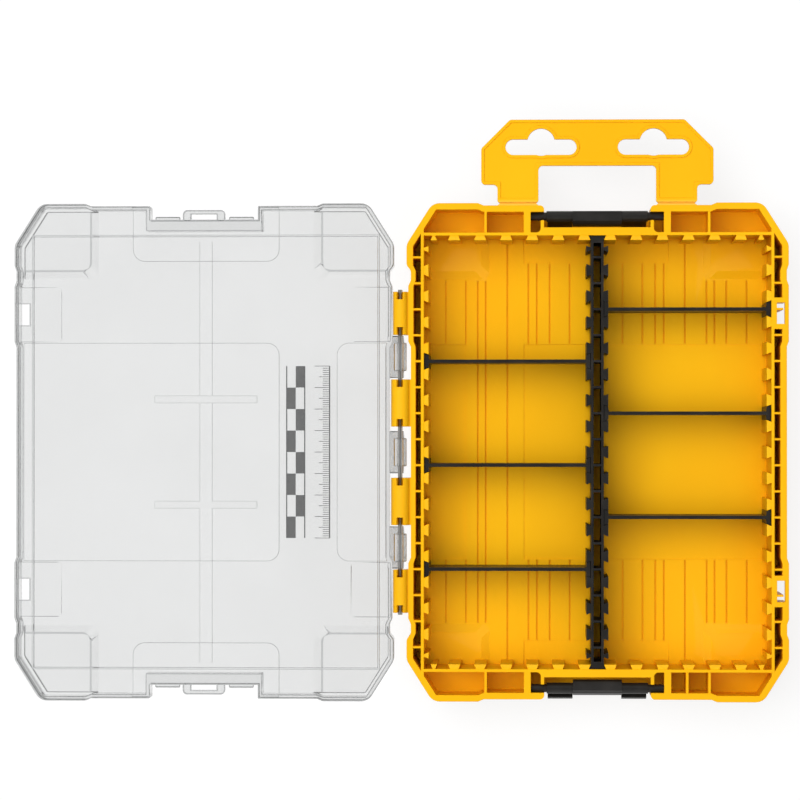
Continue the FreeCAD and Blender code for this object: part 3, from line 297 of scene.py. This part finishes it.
FLOW_PATCH = 55 * MM
FLOW_STRETCH = (1, 0.45, 1)
FLOW_SPAN = (0.35, 0.7)
YELLOW_SPREAD = (0.04, 0.06)
YELLOW_SHEEN = 0.2


def yellow_plastic(look, name="yellow_moulding"):
    """Satin yellow with faint flow marks and a fine eroded grain."""
    finish = Finish(name)
    patches = finish.noise(FLOW_PATCH, vector=finish.stretched(FLOW_STRETCH))
    flow = finish.span(patches, *FLOW_SPAN)
    finish.drive("Base Color", finish.blend(flow, look.colour, look.flow))
    grain = finish.noise(look.grain, FINE_DETAIL)
    finish.vary_roughness(grain, look.roughness, *YELLOW_SPREAD)
    finish.bump(grain, GRAIN_DEPTH, GRAIN_STRENGTH)
    finish.set(IOR=SATIN_INDEX, Specular_IOR_Level=YELLOW_SHEEN)
    return finish


STRESS_BEFORE = 0.2 * MM
STRESS_AFTER = 1.6 * MM
STRESS_SHARE = 0.55


def tab_plastic(look):
    """The tray's yellow, paler along the score where the tab snaps off."""
    finish = yellow_plastic(look, "yellow_tab")
    split = finish.add("ShaderNodeSeparateXYZ")
    finish.join(finish.place, split.inputs["Vector"])
    score = TRAY_BOX[1].y
    reach = (score - STRESS_BEFORE, score + STRESS_AFTER)
    near = finish.span(split.outputs["Y"], *reach, STRESS_SHARE, 0.0)
    plain = finish.shader.inputs["Base Color"].links[0].from_socket
    finish.drive("Base Color", finish.blend(near, plain, look.stress))
    return finish


CLEAR_INDEX = 1.58
CLOUD_PATCH = 40 * MM
CLOUD_SPAN = (0.35, 0.65)
CLOUD_GAIN = 1.02
# Faces turned from the view take the depth colour as painted shade
TURN_BLEND = 0.5
TURN_SPAN = (0.25, 0.8)
HAZE_PATCH = 1.5 * MM
WAVE_PATCH = 18 * MM
WAVE_DEPTH = 0.05 * MM
WAVE_STRENGTH = 0.25


def clear_plastic(look, tint, name):
    """Polished clear plastic with faint haze, the waviness of a moulding, and painted shade on faces
    turned from the view.
    """
    finish = Finish(name)
    cloud = finish.span(finish.noise(CLOUD_PATCH), *CLOUD_SPAN)
    paler = [min(1.0, channel * CLOUD_GAIN) for channel in tint]
    turned = finish.add("ShaderNodeLayerWeight")
    turned.inputs["Blend"].default_value = TURN_BLEND
    clear = finish.blend(cloud, tint, paler)
    # Painted shade: faces turned from the view blend towards the darker depth colour
    painted_turn_shade = finish.span(turned.outputs["Facing"], *TURN_SPAN)
    finish.drive("Base Color", finish.blend(painted_turn_shade, clear, look.depth))
    haze = finish.span(finish.noise(HAZE_PATCH), *GRAIN_SPAN, 0.0, look.haze)
    finish.drive("Roughness", haze)
    finish.bump(finish.noise(WAVE_PATCH, SMOOTH_DETAIL), WAVE_DEPTH, WAVE_STRENGTH)
    finish.set(Transmission_Weight=look.clearness, IOR=CLEAR_INDEX)
    depth = finish.add("ShaderNodeVolumeAbsorption")
    depth.inputs["Color"].default_value = look.depth
    depth.inputs["Density"].default_value = look.absorption
    finish.join(depth.outputs["Volume"], finish.output.inputs["Volume"])
    return finish


RUBBED_PATCH = 9 * MM
RUBBED_SPAN = (0.45, 0.75)
BLACK_GRAIN = 0.4 * MM
BLACK_SPREAD = (0.05, 0.07)
BLACK_SHEEN = 0.3


def black_plastic(look):
    """Satin black with a fine grain and rubbed, greyer patches."""
    finish = Finish("black_moulding")
    rubbed = finish.span(finish.noise(RUBBED_PATCH, RUBBED_DETAIL), *RUBBED_SPAN)
    finish.drive("Base Color", finish.blend(rubbed, look.colour, look.worn))
    grain = finish.noise(BLACK_GRAIN, FINE_DETAIL)
    finish.vary_roughness(grain, look.roughness, *BLACK_SPREAD)
    finish.bump(grain, GRAIN_DEPTH, GRAIN_STRENGTH)
    finish.set(IOR=SATIN_INDEX, Specular_IOR_Level=BLACK_SHEEN)
    return finish


DRAW_LINE = 0.25 * MM
DRAW_STRETCH = (1, 0.02, 1)
DRAW_DULL = 0.7
DRAW_SPREAD = (0.08, 0.1)
DRAW_DEPTH = 0.01 * MM
DRAW_STRENGTH = 0.4


def drawn_steel(look):
    """Bright wire with draw lines along its length."""
    finish = Finish("drawn_steel")
    lines = finish.noise(DRAW_LINE, FINE_DETAIL, finish.stretched(DRAW_STRETCH))
    dull = [channel * DRAW_DULL for channel in look.colour[:3]]
    bright = finish.span(lines, *GRAIN_SPAN)
    finish.drive("Base Color", finish.blend(bright, (*dull, 1), look.colour))
    finish.vary_roughness(lines, look.roughness, *DRAW_SPREAD)
    finish.bump(lines, DRAW_DEPTH, DRAW_STRENGTH)
    finish.set(Metallic=1.0)
    return finish


INK_PATCH = 0.6 * MM
INK_SPAN = (0.4, 0.8)
INK_GAIN = 2
INK_ROUGHNESS = (0.45, 0.6)


def printed_ink(look):
    """Screen-printed black ink, a little uneven."""
    finish = Finish("printed_ink")
    cover = finish.noise(INK_PATCH, FINE_DETAIL)
    thin = [channel * INK_GAIN for channel in look.colour[:3]]
    uneven = finish.span(cover, *INK_SPAN)
    finish.drive("Base Color", finish.blend(uneven, look.colour, (*thin, 1)))
    finish.drive("Roughness", finish.span(cover, *GRAIN_SPAN, *INK_ROUGHNESS))
    return finish


# Meshes

# Points closer than WELD are one, and faces that turn less than FLAT_ANGLE are joined
WELD = 0.002 * MM
FLAT_ANGLE = math.radians(0.5)

# An edge is rounded from EDGE_ANGLE on, or from FOOT_ANGLE on the lid, whose feet slope gently
EDGE_ANGLE = math.radians(28)
FOOT_ANGLE = math.radians(20)
EDGE_STEPS = 2
# Slot of the finish that paints shade on the lid's rounded edges
EDGE_SHADE_SLOT = 1

# A narrow face gives each rounding a share of its width, and below LEAST_ROOM it gives none
LEAST_ROOM = 0.55 * MM
ROOM_SHARE = 0.35

# The facets of a curve turn less than CREASE_ANGLE, and the steps of a rounding less than CORNER_ANGLE
CREASE_ANGLE = math.radians(12)
CORNER_ANGLE = math.radians(52)
FACE_WEIGHT = 100

# Least upward share of the normal of a level face
LEVEL = 0.99


def edge_room(edge):
    """How far the narrower of the two faces beside an edge reaches from it."""
    start = edge.verts[0].co
    along = (edge.verts[1].co - start).normalized()
    widths = []
    for face in edge.link_faces:
        widths.append(max((vert.co - start).cross(along).length for vert in face.verts))
    return min(widths)


def node_mesh(node, width, angle):
    """A bmesh copy of a CAD node, with its outer edges marked for rounding and flat faces joined."""
    shape = bmesh.new()
    shape.from_mesh(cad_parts[node].data)
    bmesh.ops.remove_doubles(shape, verts=shape.verts, dist=WELD)
    weight = shape.edges.layers.float.new("bevel_weight_edge")
    for edge in shape.edges:
        room = edge_room(edge)
        if edge.is_convex and edge.calc_face_angle() > angle and room > LEAST_ROOM:
            edge[weight] = min(1.0, ROOM_SHARE * room / width)
    bmesh.ops.dissolve_limit(
        shape, angle_limit=FLAT_ANGLE, verts=shape.verts, edges=shape.edges
    )
    return shape


def add_piece(shape, name, finish, body, slot, *nodes):
    """Turns a bmesh into a piece that rides on a body and stands for the given CAD nodes."""
    mesh = bpy.data.meshes.new(name)
    shape.to_mesh(mesh)
    shape.free()
    mesh.materials.append(finish.material)
    piece = bpy.data.objects.new(name, mesh)
    bpy.context.scene.collection.objects.link(piece)
    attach(piece, body)
    if nodes:
        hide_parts(*nodes)
    return piece


def shade_smooth(piece, angle):
    """Shades a piece smooth, apart from the edges that turn by more than an angle."""
    piece.data.polygons.foreach_set("use_smooth", [True] * len(piece.data.polygons))
    piece.data.set_sharp_from_angle(angle=angle)


def apply_bevel(piece):
    """Puts the rounded mesh in the place of the plain one, and keeps its inner corners sharp."""
    plain = piece.data
    rounded = piece.evaluated_get(bpy.context.evaluated_depsgraph_get())
    piece.data = bpy.data.meshes.new_from_object(rounded)
    piece.modifiers.clear()
    name = plain.name
    bpy.data.meshes.remove(plain)
    piece.data.name = name
    shape = bmesh.new()
    shape.from_mesh(piece.data)
    for edge in shape.edges:
        if edge.is_manifold and edge.calc_face_angle() > CORNER_ANGLE:
            edge.smooth = False
    shape.to_mesh(piece.data)
    shape.free()


def lift(mesh, height, rise):
    """Moves the upward faces at a height, so that fine relief reads as it does in the photo."""
    moved = set()
    for face in mesh.polygons:
        if face.normal.z > LEVEL and abs(face.center.z - height) < WELD:
            moved.update(face.vertices)
    for index in moved:
        mesh.vertices[index].co.z += rise


def moulding(node, name, finish, body, slot, width, edge_shade_finish=None, lifts=()):
    """A CAD node with its edges rounded as they come out of a mould."""
    angle = FOOT_ANGLE if edge_shade_finish else EDGE_ANGLE
    piece = add_piece(node_mesh(node, width, angle), name, finish, body, slot, node)
    for height, rise in lifts:
        lift(piece.data, height, rise)
    shade_smooth(piece, CREASE_ANGLE)
    bevel = piece.modifiers.new("Moulded edges", "BEVEL")
    bevel.limit_method = "WEIGHT"
    bevel.width = width
    bevel.segments = EDGE_STEPS
    bevel.use_clamp_overlap = False
    bevel.loop_slide = False
    # The lid's rounded edges take a second finish whose darker tint is painted shade
    if edge_shade_finish:
        piece.data.materials.append(edge_shade_finish.material)
        bevel.material = EDGE_SHADE_SLOT
    apply_bevel(piece)
    shading = piece.modifiers.new("Flat faces", "WEIGHTED_NORMAL")
    shading.weight = FACE_WEIGHT
    shading.keep_sharp = True
    return piece


# Operators


class CASE_OT_tray(bpy.types.Operator):
    """Dress the tray with its teeth, cells and knuckles"""

    bl_idname = "case.tray"
    bl_label = "Tray"

    GROOVE_Z = 2.0 * MM
    TOOTH_Z = 39.2 * MM

    def execute(self, context):
        look = context.scene.case_tray
        finish = yellow_plastic(look)
        lifts = ((self.GROOVE_Z, -look.groove), (self.TOOTH_Z, look.tooth))
        moulding(
            "base_tray", "tray_moulding", finish, "base", "tray_plastic", look.edge, lifts=lifts
        )
        return {"FINISHED"}


class CASE_OT_hang_tab(bpy.types.Operator):
    """Dress the break-off hanging tab"""

    bl_idname = "case.hang_tab"
    bl_label = "Hanging Tab"

    def execute(self, context):
        look = context.scene.case_tray
        finish = tab_plastic(look)
        moulding("hang_tab", "tab_moulding", finish, "base", "tray_plastic", look.edge)
        return {"FINISHED"}


class CASE_OT_lid(bpy.types.Operator):
    """Dress the clear lid, which light goes through without a shadow"""

    bl_idname = "case.lid"
    bl_label = "Clear Lid"

    def execute(self, context):
        look = context.scene.case_lid
        finish = clear_plastic(look, look.tint, "clear_moulding")
        # The rounded edges take a darker tint, a painted shade
        edges = clear_plastic(look, look.painted_edge_shade, "clear_edges")
        lid = moulding(
            "lid_shell", "lid_moulding", finish, "lid", "clear_plastic", look.edge, edges
        )
        lid.visible_shadow = False
        return {"FINISHED"}


class CASE_OT_lid_scale(bpy.types.Operator):
    """Print a plain measuring scale on the outside of the lid"""

    bl_idname = "case.lid_scale"
    bl_label = "Lid Scale"

    STRIP_X = -134.2 * MM
    FACE_Z = 27.2 * MM
    AIR = 0.02 * MM
    BLOCK_SHARE = 0.42
    TICK_STEP = 1 * MM
    TICK_WIDTH = 0.28 * MM
    TICKS = ((10, 7.0 * MM), (5, 5.0 * MM), (1, 3.2 * MM))

    def block(self, shape, low_x, high_x, low_y, high_y):
        """Adds one printed rectangle, as thick as the ink and just under the lid's outside."""
        thickness = bpy.context.scene.case_scale.thickness
        z = self.FACE_Z - self.AIR - thickness / 2
        middle = Matrix.Translation(((low_x + high_x) / 2, (low_y + high_y) / 2, z))
        size = Matrix.Diagonal((high_x - low_x, high_y - low_y, thickness, 1))
        bmesh.ops.create_cube(shape, size=1, matrix=middle @ size)

    def execute(self, context):
        look = context.scene.case_scale
        shape = bmesh.new()
        left = self.STRIP_X - look.width / 2
        right = self.STRIP_X + look.width / 2
        column = look.width * self.BLOCK_SHARE / 2
        start = -look.length / 2
        for index in range(round(look.length / look.division)):
            low = start + index * look.division
            side = left + column * (index % 2)
            self.block(shape, side, side + column, low, low + look.division)
        half = self.TICK_WIDTH / 2
        for index in range(round(look.length / self.TICK_STEP) + 1):
            tick = next(length for step, length in self.TICKS if index % step == 0)
            y = start + index * self.TICK_STEP
            self.block(shape, right - tick, right, y - half, y + half)
        for x in (left, left + 2 * column, right):
            self.block(shape, x - self.TICK_WIDTH, x + self.TICK_WIDTH, start, -start)
        add_piece(shape, "lid_scale_print", printed_ink(look), "lid", "black_plastic")
        return {"FINISHED"}


class CASE_OT_hinge_pin(bpy.types.Operator):
    """Make the hinge pin of drawn wire with rounded ends"""

    bl_idname = "case.hinge_pin"
    bl_label = "Hinge Pin"

    SIDES = 32
    TIP_STEPS = 3
    SMOOTH_ANGLE = math.radians(40)

    def execute(self, context):
        look = context.scene.case_pin
        low, high = PIN_BOX
        radius = (high.x - low.x) / 2
        along = Matrix.Translation((low + high) / 2) @ Matrix.Rotation(math.pi / 2, 4, "X")
        shape = bmesh.new()
        bmesh.ops.create_cone(
            shape, cap_ends=True, segments=self.SIDES, radius1=radius, radius2=radius,
            depth=high.y - low.y, matrix=along,
        )
        rims = [edge for edge in shape.edges if edge.calc_face_angle() > EDGE_ANGLE]
        bmesh.ops.bevel(
            shape, geom=rims, offset=look.tip, segments=self.TIP_STEPS, profile=0.5,
            affect="EDGES", material=-1,
        )
        finish = drawn_steel(look)
        piece = add_piece(shape, "pin_wire", finish, "base", "pin_steel", "hinge_pin")
        shade_smooth(piece, self.SMOOTH_ANGLE)
        return {"FINISHED"}


class CASE_OT_latches(bpy.types.Operator):
    """Dress both latches"""

    bl_idname = "case.latches"
    bl_label = "Latches"

    def execute(self, context):
        look = context.scene.case_black
        finish = black_plastic(look)
        for node, body in LATCH_PIECES.items():
            moulding(node, f"{body}_moulding", finish, body, "black_plastic", look.edge)
        return {"FINISHED"}


class CASE_OT_centre_rail(bpy.types.Operator):
    """Dress the toothed centre rail"""

    bl_idname = "case.centre_rail"
    bl_label = "Centre Rail"

    def execute(self, context):
        look = context.scene.case_black
        finish = black_plastic(look)
        moulding("centre_rail", "rail_moulding", finish, "rail", "black_plastic", look.edge)
        return {"FINISHED"}


class CASE_OT_dividers(bpy.types.Operator):
    """Dress the six divider walls"""

    bl_idname = "case.dividers"
    bl_label = "Dividers"

    def execute(self, context):
        look = context.scene.case_black
        finish = black_plastic(look)
        for node, body in DIVIDER_PIECES.items():
            moulding(node, f"{body}_moulding", finish, body, "black_plastic", look.edge)
        return {"FINISHED"}


class CASE_OT_stage(bpy.types.Operator):
    """Set up the pale floor, the soft lamps and the camera"""

    bl_idname = "case.stage"
    bl_label = "Stage"

    FLOOR_SIZE = 8.0
    FLOOR_DROP = 0.2 * MM
    CAMERA_OVER = Vector((-28.5 * MM, 10.6 * MM))
    AIM = Vector((-91.0 * MM, 24.1 * MM, 40.0 * MM))
    CEILING_RISE = (0.78, 0.96)

    # Each lamp's name, the property that holds its power, its place and its width
    LAMPS = (
        ("key_lamp", "key_power", Vector((-0.72, 0.42, 2.6)), 2.2),
        ("fill_lamp", "fill_power", Vector((0.9, -0.7, 2.4)), 1.5),
    )

    def seen_white(self, tree):
        """A factor that is 1 for what the camera, a reflection or clear plastic sees."""
        path = tree.nodes.new("ShaderNodeLightPath")
        factor = path.outputs["Is Camera Ray"]
        for name in ("Is Glossy Ray", "Is Transmission Ray"):
            larger = tree.nodes.new("ShaderNodeMath")
            larger.operation = "MAXIMUM"
            tree.links.new(factor, larger.inputs[0])
            tree.links.new(path.outputs[name], larger.inputs[1])
            factor = larger.outputs["Value"]
        return factor

    def floor_material(self, look):
        """A matt floor that shows nearly white and still takes the object's shadow."""
        material = bpy.data.materials.new("pale_floor")
        material.use_nodes = True
        tree = material.node_tree
        shader = tree.nodes["Principled BSDF"]
        shader.inputs["Base Color"].default_value = (look.floor, look.floor, look.floor, 1)
        shader.inputs["Roughness"].default_value = 1.0
        shader.inputs["Specular IOR Level"].default_value = 0.0
        shader.inputs["Emission Color"].default_value = WHITE
        glow = tree.nodes.new("ShaderNodeMath")
        glow.operation = "MULTIPLY"
        glow.inputs[1].default_value = look.glow
        tree.links.new(self.seen_white(tree), glow.inputs[0])
        tree.links.new(glow.outputs["Value"], shader.inputs["Emission Strength"])
        return material

    def make_floor(self, look):
        shape = bmesh.new()
        bmesh.ops.create_grid(
            shape, x_segments=1, y_segments=1, size=self.FLOOR_SIZE / 2,
            matrix=Matrix.Translation((0, 0, -self.FLOOR_DROP)),
        )
        mesh = bpy.data.meshes.new("floor")
        shape.to_mesh(mesh)
        shape.free()
        mesh.materials.append(self.floor_material(look))
        floor = bpy.data.objects.new("floor", mesh)
        bpy.context.scene.collection.objects.link(floor)

    def make_lamps(self, look):
        centre = (CAD_BOX[0] + CAD_BOX[1]) / 2
        for name, power, place, size in self.LAMPS:
            lamp = bpy.data.lights.new(name, "AREA")
            lamp.energy = getattr(look, power)
            lamp.size = size
            light = bpy.data.objects.new(name, lamp)
            light.location = place
            light.rotation_euler = (centre - place).to_track_quat("-Z", "Y").to_euler()
            light.visible_camera = False
            light.visible_glossy = False
            light.visible_transmission = False
            bpy.context.scene.collection.objects.link(light)

    def make_world(self, look):
        """Pale walls that look white, under a darker ceiling."""
        world = bpy.data.worlds.new("studio")
        bpy.context.scene.world = world
        world.use_nodes = True
        tree = world.node_tree
        place = tree.nodes.new("ShaderNodeTexCoord")
        split = tree.nodes.new("ShaderNodeSeparateXYZ")
        tree.links.new(place.outputs["Generated"], split.inputs["Vector"])
        walls = tree.nodes.new("ShaderNodeMapRange")
        walls.inputs["To Min"].default_value = look.ambient
        tree.links.new(self.seen_white(tree), walls.inputs["Value"])
        rise = tree.nodes.new("ShaderNodeMapRange")
        rise.interpolation_type = "SMOOTHSTEP"
        numbers = (*self.CEILING_RISE, look.ceiling)
        for key, number in zip(("From Min", "From Max", "To Max"), numbers):
            rise.inputs[key].default_value = number
        tree.links.new(walls.outputs["Result"], rise.inputs["To Min"])
        tree.links.new(split.outputs["Z"], rise.inputs["Value"])
        background = tree.nodes["Background"]
        background.inputs["Color"].default_value = WHITE
        tree.links.new(rise.outputs["Result"], background.inputs["Strength"])

    def make_camera(self, look):
        """A camera over the case that looks down, with +Y upwards in its picture."""
        place = Vector((*self.CAMERA_OVER, look.camera_height))
        back = (place - self.AIM).normalized()
        right = Vector((0, 1, 0)).cross(back).normalized()
        up = back.cross(right)
        lens = bpy.data.cameras.new("camera")
        lens.lens = look.lens
        camera = bpy.data.objects.new("camera", lens)
        camera.location = place
        camera.rotation_euler = Matrix((right, up, back)).transposed().to_euler()
        bpy.context.scene.collection.objects.link(camera)
        bpy.context.scene.camera = camera

    def execute(self, context):
        look = context.scene.case_stage
        self.make_floor(look)
        self.make_lamps(look)
        self.make_world(look)
        self.make_camera(look)
        context.scene.view_settings.view_transform = "Standard"
        return {"FINISHED"}


OPERATORS = (
    CASE_OT_tray,
    CASE_OT_hang_tab,
    CASE_OT_lid,
    CASE_OT_lid_scale,
    CASE_OT_hinge_pin,
    CASE_OT_latches,
    CASE_OT_centre_rail,
    CASE_OT_dividers,
    CASE_OT_stage,
)


class CASE_PT_sidebar(bpy.types.Panel):
    """Sizes, colours and pieces of the tool case"""

    bl_idname = "CASE_PT_sidebar"
    bl_label = "Tool Case"
    bl_space_type = "VIEW_3D"
    bl_region_type = "UI"
    bl_category = "Tool Case"

    def draw(self, context):
        for name in GROUPS:
            group = getattr(context.scene, name)
            box = self.layout.box()
            for key in group.bl_rna.properties.keys():
                if key not in ("rna_type", "name"):
                    box.prop(group, key)
        for operator in OPERATORS:
            self.layout.operator(operator.bl_idname)


CLASSES = (*GROUPS.values(), *OPERATORS, CASE_PT_sidebar)


def register():
    for item in CLASSES:
        bpy.utils.register_class(item)
    for name, group in GROUPS.items():
        setattr(bpy.types.Scene, name, bpy.props.PointerProperty(type=group))


def unregister():
    for name in GROUPS:
        delattr(bpy.types.Scene, name)
    for item in reversed(CLASSES):
        bpy.utils.unregister_class(item)


def main():
    register()
    bpy.ops.case.stage()
    bpy.ops.case.tray()
    bpy.ops.case.hang_tab()
    bpy.ops.case.lid()
    bpy.ops.case.lid_scale()
    bpy.ops.case.hinge_pin()
    bpy.ops.case.latches()
    bpy.ops.case.centre_rail()
    bpy.ops.case.dividers()


if __name__ == "__main__":
    main()
